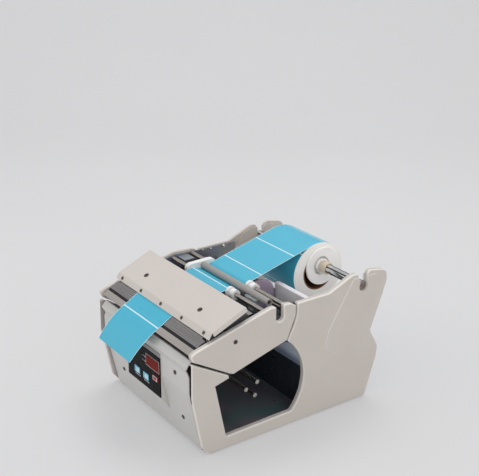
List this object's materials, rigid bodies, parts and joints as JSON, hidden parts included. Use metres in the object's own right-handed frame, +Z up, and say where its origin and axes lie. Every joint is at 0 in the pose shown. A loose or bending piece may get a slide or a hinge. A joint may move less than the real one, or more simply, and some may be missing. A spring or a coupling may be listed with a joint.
{
  "type": "label dispenser",
  "caption": "Table-top machine that feeds a roll of labels over guide rods and under a hinged hood to a peel bar, with take-up spindle and key panel.",
  "frame": {"origin": "on the surface under the feet, at the centre of the whole machine's length and width", "axes": "+Y from the peel bar to the label roll, +Z up, +X to the side with the take-up opening"},
  "size_m": [0.2932, 0.4239, 0.2482],
  "materials": {
    "case_paint": "fine textured grey, moulded cover",
    "panel_paint": "smooth satin grey paint",
    "frame_steel": "zinc-plated sheet",
    "white_paint": "satin white paint",
    "feet_rubber": "matt",
    "control_plastic": "satin",
    "trim_grey": "satin",
    "display_red": "gloss",
    "key_blue": "satin",
    "key_red": "satin",
    "board_green": "satin",
    "screw_steel": "bright",
    "bar_steel": "ground",
    "tear_black": "blackened",
    "table_steel": "satin",
    "hood_paint": "satin warm white paint",
    "ring_white": "satin",
    "tube_grey": "satin",
    "clear_plastic": "clear",
    "sleeve_grey": "satin",
    "sensor_black": "satin",
    "label_paper": "light blue paper",
    "roll_side": "cut paper edges",
    "core_board": "brown board",
    "gear_nylon": "natural nylon",
    "pinion_brass": "machined",
    "motor_steel": "plated",
    "supply_case": "plain"
  },
  "bodies": {
    "frame": {"left_side_cover": "case_paint", "right_side_cover": "case_paint", "left_arm_cover": "case_paint", "right_arm_cover": "case_paint", "front_panel": "panel_paint", "left_frame_plate": "frame_steel", "right_frame_plate": "frame_steel", "base_pan": "frame_steel", "rear_bulkhead": "frame_steel", "drive_bulkhead": "frame_steel", "rear_panel": "frame_steel", "cross_channel": "frame_steel", "left_ear_plate": "white_paint", "right_ear_plate": "white_paint", "roll_deck": "white_paint", "side_shelf": "white_paint", "rubber_feet": "feet_rubber", "control_panel": "control_plastic", "panel_trim": "trim_grey", "display_window": "display_red", "control_board": "board_green", "case_screws": "screw_steel", "peel_bar": "bar_steel", "front_guide_rod": "bar_steel", "rear_guide_rod": "bar_steel", "disc_shaft": "bar_steel", "hood_pins": "bar_steel", "tear_strip": "tear_black", "table_plate": "table_steel", "web_sensor": "clear_plastic", "mains_inlet": "sensor_black", "switch_frame": "sensor_black", "label_web": "label_paper", "spindle_bearings": "pinion_brass", "motor": "motor_steel", "power_supply": "supply_case"},
    "hood_flap": {"hood": "hood_paint", "hood_screws": "screw_steel", "sensor_rail": "bar_steel", "label_sensor": "sensor_black"},
    "roll": {"roll_core": "core_board", "label_roll": "roll_side"},
    "roll_axle": {"roll_shaft": "bar_steel", "hub_left": "ring_white", "hub_right": "ring_white"},
    "take_up": {"take_up_spindle": "bar_steel", "spindle_gear": "gear_nylon"},
    "drive_pinion": {"motor_pinion": "pinion_brass"},
    "front_guide_left": {"front_ring_left": "ring_white", "rear_ring_left": "ring_white"},
    "front_guide_right": {"front_ring_right": "ring_white"},
    "rear_guide_right": {"rear_ring_right": "ring_white"},
    "tension_rod": {"tension_bar": "bar_steel"},
    "tension_roller": {"tension_tube": "tube_grey"},
    "discs": {"disc_sleeve": "sleeve_grey", "guide_discs": "clear_plastic"},
    "left_key": {"key_left": "key_blue"},
    "right_key": {"key_right": "key_blue"},
    "stop_key": {"key_stop": "key_red"},
    "rocker": {"power_rocker": "sensor_black"}
  },
  "joints": [
    {"name": "hood_hinge", "type": "hinge", "parent": "frame", "child": "hood_flap", "pos_m": [0, -0.06075, 0.201], "axis": [-1, 0, 0], "range_deg": [0, 68]},
    {"name": "roll_spin", "type": "hinge", "parent": "frame", "child": "roll", "pos_m": [0, 0.15355, 0.19621], "axis": [1, 0, 0], "continuous": true},
    {"name": "axle_spin", "type": "hinge", "parent": "frame", "child": "roll_axle", "pos_m": [0, 0.15925, 0.207], "axis": [1, 0, 0], "continuous": true},
    {"name": "take_up_spin", "type": "hinge", "parent": "frame", "child": "take_up", "pos_m": [0, -0.04515, 0.076], "axis": [1, 0, 0], "continuous": true},
    {"name": "pinion_spin", "type": "hinge", "parent": "frame", "child": "drive_pinion", "pos_m": [0, -0.00015, 0.076], "axis": [1, 0, 0], "continuous": true},
    {"name": "front_left_slide", "type": "slide", "parent": "frame", "child": "front_guide_left", "axis": [-1, 0, 0], "range_m": [0, 0.028]},
    {"name": "front_right_slide", "type": "slide", "parent": "frame", "child": "front_guide_right", "axis": [1, 0, 0], "range_m": [0, 0.075]},
    {"name": "rear_right_slide", "type": "slide", "parent": "frame", "child": "rear_guide_right", "axis": [1, 0, 0], "range_m": [0, 0.075]},
    {"name": "tension_lift", "type": "slide", "parent": "frame", "child": "tension_rod", "axis": [0, 0, 1], "range_m": [0, 0.02]},
    {"name": "tension_spin", "type": "hinge", "parent": "tension_rod", "child": "tension_roller", "pos_m": [0, -0.00725, 0.21], "axis": [1, 0, 0], "continuous": true},
    {"name": "disc_spin", "type": "hinge", "parent": "frame", "child": "discs", "pos_m": [0, 0.03225, 0.1824], "axis": [1, 0, 0], "continuous": true},
    {"name": "left_key_press", "type": "slide", "parent": "frame", "child": "left_key", "axis": [0, 1, 0], "range_m": [0, 0.0008], "stiffness_N_per_m": 900},
    {"name": "right_key_press", "type": "slide", "parent": "frame", "child": "right_key", "axis": [0, 1, 0], "range_m": [0, 0.0008], "stiffness_N_per_m": 900},
    {"name": "stop_key_press", "type": "slide", "parent": "frame", "child": "stop_key", "axis": [0, 1, 0], "range_m": [0, 0.0008], "stiffness_N_per_m": 900},
    {"name": "rocker_tilt", "type": "hinge", "parent": "frame", "child": "rocker", "pos_m": [0.1067, 0.16525, 0.0477], "axis": [1, 0, 0], "range_deg": [0, 16]}
  ],
  "couplings": [
    {"joint": "axle_spin", "follows": "roll_spin", "ratio": 1.7353},
    {"joint": "pinion_spin", "follows": "take_up_spin", "ratio": -4}
  ]
}
